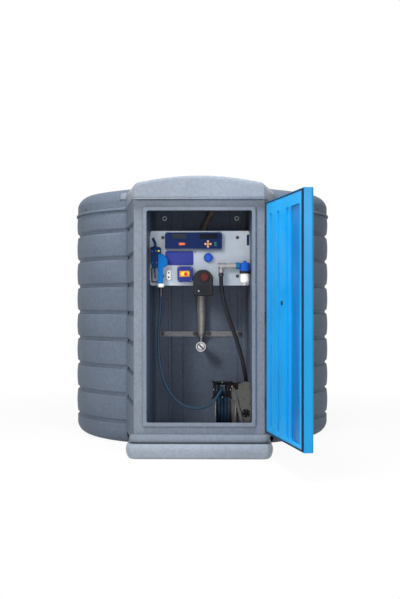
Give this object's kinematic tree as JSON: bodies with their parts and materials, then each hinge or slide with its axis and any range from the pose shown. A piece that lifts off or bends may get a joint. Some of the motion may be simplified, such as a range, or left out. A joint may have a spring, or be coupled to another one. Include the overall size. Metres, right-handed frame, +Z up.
{
  "type": "diesel exhaust fluid tank",
  "caption": "Round ribbed plastic storage tank with a front dispensing cabinet: hinged door, control unit, nozzle on its hose, filter, hose reel and fill pipe.",
  "frame": {"origin": "on the floor, on the axis of the round tank", "axes": "+Z up, the cabinet's doorway faces -Y, +X to the right of somebody who looks into the cabinet"},
  "size_m": [2.242, 3.7695, 2.22],
  "materials": {
    "body_plastic": "rotomoulded, fine matt texture",
    "door_plastic": "satin blue moulding",
    "seal_rubber": "soft sealing strip",
    "zinc_steel": "zinc-plated sheet",
    "stainless": "stainless pipe",
    "polished": "polished fitting",
    "dark_metal": "black powder coat",
    "control_blue": "dark blue panel",
    "key_orange": "push buttons",
    "panel_blue": "bare blue panel",
    "switch_blue": "switch housing",
    "switch_yellow": "switch handle",
    "white_plastic": "white moulding",
    "gauge_blue": "blue cap",
    "housing_black": "charcoal housing",
    "dial_red": "dark red disc",
    "nozzle_blue": "blue nozzle parts",
    "nozzle_dark": "dark nozzle parts",
    "hose_rubber": "smooth rubber hose"
  },
  "bodies": {
    "tank": {"tank_wall_left": "body_plastic", "tank_wall_rear": "body_plastic", "tank_wall_right": "body_plastic", "tank_floor": "body_plastic", "tank_roof": "body_plastic", "manhole_neck": "body_plastic", "manhole_lid": "body_plastic", "cabinet_frame": "body_plastic", "cabinet_side_left": "body_plastic", "cabinet_side_right": "body_plastic", "cabinet_hood": "body_plastic", "cabinet_plinth": "body_plastic", "liner_left": "body_plastic", "liner_right": "body_plastic", "liner_back": "body_plastic", "liner_floor": "body_plastic", "liner_ceiling": "body_plastic", "hinge_brackets": "zinc_steel", "mounting_plate": "zinc_steel", "plate_brackets": "zinc_steel", "control_unit": "control_blue", "control_keys": "key_orange", "info_panel": "panel_blue", "isolator_box": "switch_blue", "power_socket": "white_plastic", "gauge": "gauge_blue", "filter_head": "gauge_blue", "filter_ring": "dark_metal", "filter_bowl": "white_plastic", "filter_pipe": "polished", "pump_housing": "housing_black", "pump_dial": "dial_red", "riser_pipe": "stainless", "fill_pipe": "stainless", "fill_elbow": "stainless", "fill_coupling": "polished", "wall_strap": "zinc_steel", "grommets": "white_plastic", "nozzle_holder": "nozzle_dark", "nozzle_body": "nozzle_dark", "nozzle_grip": "nozzle_blue", "nozzle_guard": "dark_metal", "nozzle_swivel": "white_plastic", "reel_frame": "zinc_steel", "roller_guide": "dark_metal", "reel_swivel": "polished", "delivery_hose": "hose_rubber", "supply_hose": "hose_rubber"},
    "door": {"door_panel": "door_plastic", "door_lining": "door_plastic", "door_seal": "seal_rubber", "door_lock": "dark_metal", "door_hinges": "zinc_steel"},
    "reel": {"reel_drum": "dark_metal", "reel_hose": "hose_rubber"},
    "switch": {"isolator_knob": "switch_yellow"}
  },
  "joints": [
    {"name": "door_swing", "type": "hinge", "parent": "tank", "child": "door", "pos_m": [0.487, -1.699, 1.034], "axis": [0, 0, 1], "range_deg": [-101, 49]},
    {"name": "reel_spin", "type": "hinge", "parent": "tank", "child": "reel", "pos_m": [0.193, -1.4, 0.34], "axis": [1, 0, 0], "continuous": true},
    {"name": "switch_turn", "type": "hinge", "parent": "tank", "child": "switch", "pos_m": [-0.11, -1.5, 1.356], "axis": [0, -1, 0], "range_deg": [0, 90]}
  ]
}
